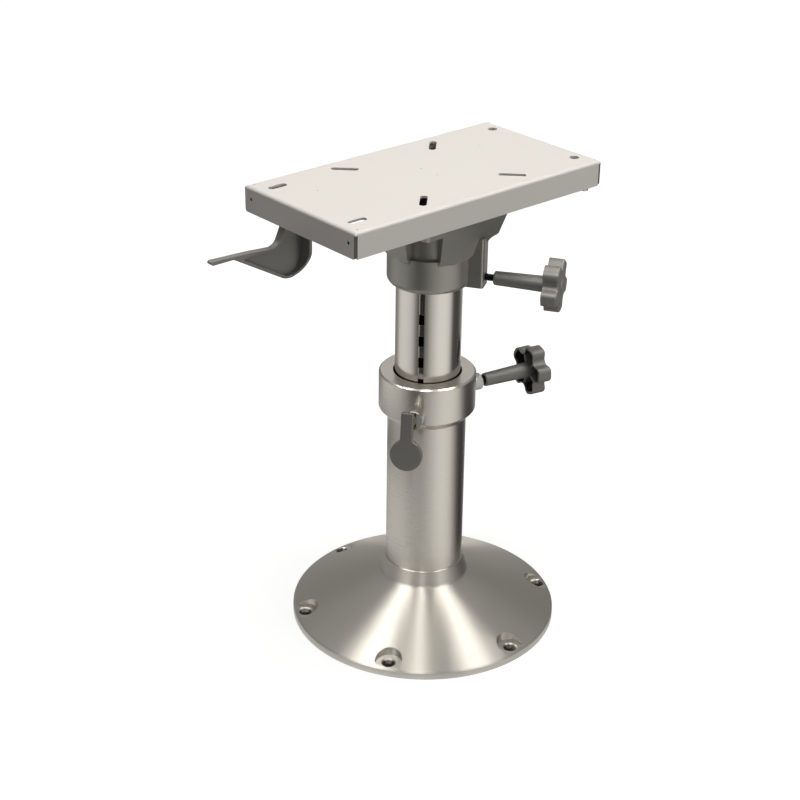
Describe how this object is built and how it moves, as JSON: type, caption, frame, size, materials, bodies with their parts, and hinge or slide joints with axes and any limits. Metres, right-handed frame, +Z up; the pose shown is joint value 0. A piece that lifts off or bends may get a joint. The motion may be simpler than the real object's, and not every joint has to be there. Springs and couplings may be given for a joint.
{
  "type": "boat seat pedestal",
  "caption": "Boat seat pedestal with a flared base, a pinned sliding post, clamp knobs, a swivel head and a fore-and-aft seat slide.",
  "frame": {"origin": "on the column's axis at the deck face of the base", "axes": "+Z up along the column, -Y towards the front of the seat, where the slide lever is, +X to the side of the upper clamp knob"},
  "size_m": [0.305, 0.422, 0.5377],
  "materials": {
    "spun_aluminium": "spun satin, fine rings round the axis",
    "turned_aluminium": "satin drawn tube and turned collar",
    "polished_aluminium": "polished",
    "grey_casting": "smooth grey paint on a casting",
    "grey_plastic": "moulded, satin",
    "dark_plastic": "moulded, matt",
    "light_coated_sheet": "smooth light coating, satin",
    "galvanised_steel": "galvanised sheet",
    "bright_steel": "bright stainless",
    "black_steel": "black oxide thread",
    "white_nylon": "moulded nylon"
  },
  "bodies": {
    "column": {"base_flange": "spun_aluminium", "column_tube": "turned_aluminium", "column_collar": "turned_aluminium", "column_bush": "white_nylon", "pin_spring": "bright_steel", "lever_pivot_pin": "bright_steel", "lower_clamp_bush": "white_nylon"},
    "post": {"post": "polished_aluminium", "post_foot_ring": "white_nylon", "post_plug": "polished_aluminium", "thrust_washer": "white_nylon", "swivel_bolt": "bright_steel", "swivel_washer": "bright_steel", "swivel_nut": "bright_steel"},
    "head": {"swivel_housing": "grey_casting", "lower_swivel_bush": "white_nylon", "upper_swivel_bush": "white_nylon", "slide_bolts": "bright_steel", "slide_base": "galvanised_steel", "latch_rack": "galvanised_steel"},
    "seat": {"seat_plate": "light_coated_sheet", "left_rail": "galvanised_steel", "right_rail": "galvanised_steel", "left_runner": "white_nylon", "right_runner": "white_nylon", "stop_screws": "bright_steel", "latch_bracket": "galvanised_steel", "latch_pivot_pin": "bright_steel", "latch_spring": "bright_steel"},
    "slide_latch": {"slide_lever": "grey_plastic", "latch_arm": "galvanised_steel", "latch_stud": "bright_steel", "lever_rivets": "bright_steel"},
    "pin_lever": {"height_lever": "dark_plastic", "lever_pull_pin": "bright_steel"},
    "height_pin": {"height_pin": "bright_steel"},
    "lower_pad": {"lower_clamp_pad": "white_nylon"},
    "lower_clamp": {"lower_clamp_knob": "grey_plastic", "lower_clamp_knob_cap": "grey_plastic", "lower_clamp_screw": "black_steel"},
    "upper_pad": {"upper_clamp_pad": "white_nylon"},
    "upper_clamp": {"upper_clamp_knob": "grey_plastic", "upper_clamp_knob_cap": "grey_plastic", "upper_clamp_screw": "black_steel"}
  },
  "joints": [
    {"name": "post_height", "type": "slide", "parent": "column", "child": "post", "axis": [0, 0, 1], "range_m": [-0.1016, 0.0508]},
    {"name": "swivel", "type": "hinge", "parent": "post", "child": "head", "pos_m": [0, 0, 0.45], "axis": [0, 0, 1], "continuous": true},
    {"name": "seat_slide", "type": "slide", "parent": "head", "child": "seat", "axis": [0, 1, 0], "range_m": [-0.0508, 0.0508]},
    {"name": "slide_latch", "type": "hinge", "parent": "seat", "child": "slide_latch", "pos_m": [-0.0395, 0.04, 0.522], "axis": [1, 0, 0], "range_deg": [-0.8, 3.2], "deforming": ["latch_spring"]},
    {"name": "pin_lever", "type": "hinge", "parent": "column", "child": "pin_lever", "pos_m": [0.04056, -0.05582, 0.2841], "axis": [-0.809, -0.5878, 0], "range_deg": [-20, 25]},
    {"name": "pin_draw", "type": "slide", "parent": "column", "child": "height_pin", "axis": [0.5878, -0.809, 0], "range_m": [-0.0016, 0.002]},
    {"name": "lower_clamp_feed", "type": "slide", "parent": "column", "child": "lower_pad", "axis": [0.2079, 0.9781, 0], "range_m": [0, 0.0025]},
    {"name": "lower_clamp_turn", "type": "hinge", "parent": "lower_pad", "child": "lower_clamp", "pos_m": [0.02703, 0.12716, 0.278], "axis": [0.2079, 0.9781, 0], "range_deg": [0, 721]},
    {"name": "upper_clamp_feed", "type": "slide", "parent": "head", "child": "upper_pad", "axis": [0.8462, 0.5329, 0], "range_m": [0, 0.0025]},
    {"name": "upper_clamp_turn", "type": "hinge", "parent": "upper_pad", "child": "upper_clamp", "pos_m": [0.11001, 0.06927, 0.4262], "axis": [0.8462, 0.5329, 0], "range_deg": [0, 721]}
  ],
  "couplings": [
    {"joint": "pin_lever", "follows": "pin_draw", "rad_per_m": 217.39},
    {"joint": "lower_clamp_turn", "follows": "lower_clamp_feed", "rad_per_m": 5026.5},
    {"joint": "upper_clamp_turn", "follows": "upper_clamp_feed", "rad_per_m": 5026.5}
  ]
}
